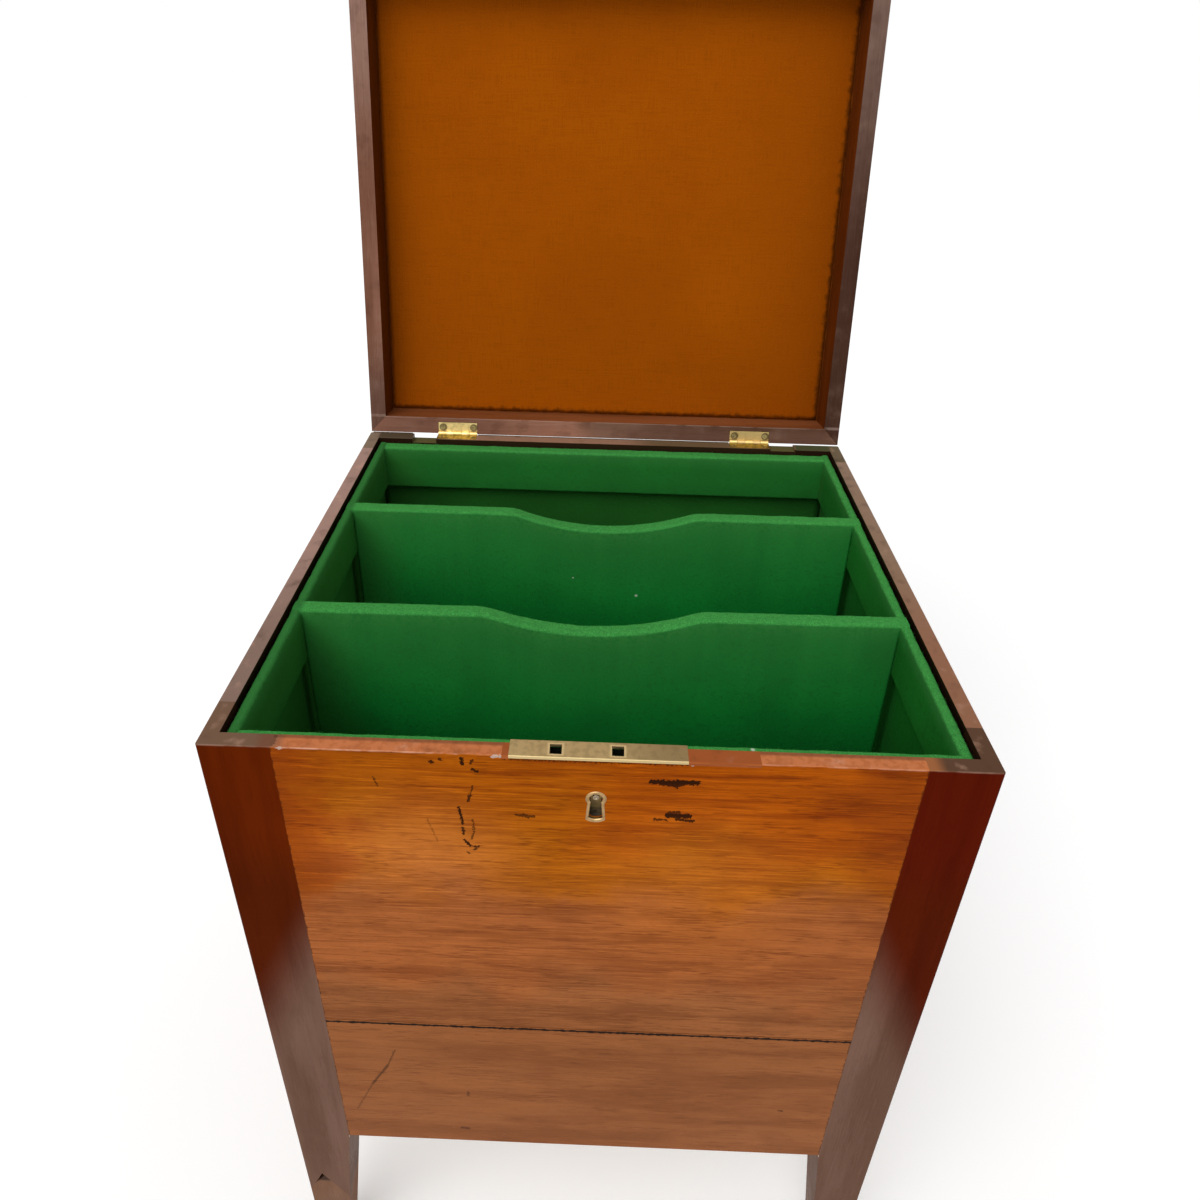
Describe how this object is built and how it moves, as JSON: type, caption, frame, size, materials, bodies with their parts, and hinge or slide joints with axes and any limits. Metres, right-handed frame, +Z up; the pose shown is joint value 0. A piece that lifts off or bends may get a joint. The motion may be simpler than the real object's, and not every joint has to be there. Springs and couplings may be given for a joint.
{
  "type": "cellarette",
  "caption": "Square mahogany cellarette on tapered legs, with a hinged lid, a box lock in the rim and a baize-lined inside split by dipped dividers",
  "frame": {"origin": "on the floor, at the centre of the four feet", "axes": "+Z up, +Y from the lock towards the hinges, +X to the right as seen from the front"},
  "size_m": [0.46, 0.529, 1.0391],
  "materials": {
    "mahogany": "waxed satin",
    "mahogany_lid": "dull wax",
    "pine": "raw",
    "green_baize": "napped wool",
    "amber_cloth": "short velvet nap",
    "brass": "tarnished satin",
    "steel": "dull"
  },
  "bodies": {
    "case": {"back_board": "mahogany", "bearer_back": "pine", "bearer_front": "pine", "bearer_left": "pine", "bearer_right": "pine", "bottom_board": "pine", "corner_blocks": "pine", "divider_front": "green_baize", "divider_rear": "green_baize", "floor_screws": "steel", "front_lower_board": "mahogany", "front_upper_board": "mahogany", "hinge_case_screws": "brass", "hinge_left_case_leaf": "brass", "hinge_left_pin": "steel", "hinge_right_case_leaf": "brass", "hinge_right_pin": "steel", "insert_back": "green_baize", "insert_front": "green_baize", "insert_left": "green_baize", "insert_right": "green_baize", "keyhole_escutcheon": "brass", "leg_back_left": "mahogany", "leg_back_right": "mahogany", "leg_front_left": "mahogany", "leg_front_left_tip": "mahogany", "leg_front_right": "mahogany", "lining_back": "green_baize", "lining_floor": "green_baize", "lining_front": "green_baize", "lining_left": "green_baize", "lining_right": "green_baize", "lock_cap": "brass", "lock_drill_pin": "steel", "lock_guide_studs": "steel", "lock_plate": "brass", "lock_screws": "brass", "rim_patches": "mahogany", "side_board_left": "mahogany", "side_board_right": "mahogany"},
    "lid": {"lid_rail_front": "mahogany_lid", "lid_rail_back": "mahogany_lid", "lid_rail_left": "mahogany_lid", "lid_rail_right": "mahogany_lid", "lid_panel": "mahogany_lid", "lid_lining": "amber_cloth", "link_plate": "brass", "link_screws": "brass", "hinge_lid_screws": "brass", "hinge_left_lid_leaf": "brass", "hinge_right_lid_leaf": "brass"},
    "bolt": {"lock_bolt": "steel", "lock_bolt_spring": "steel"}
  },
  "joints": [
    {"name": "lid_hinge", "type": "hinge", "parent": "case", "child": "lid", "pos_m": [0, 0.2082, 0.63025], "axis": [1, 0, 0], "range_deg": [0, 100]},
    {"name": "bolt_slide", "type": "slide", "parent": "case", "child": "bolt", "axis": [1, 0, 0], "range_m": [0, 0.006]}
  ]
}
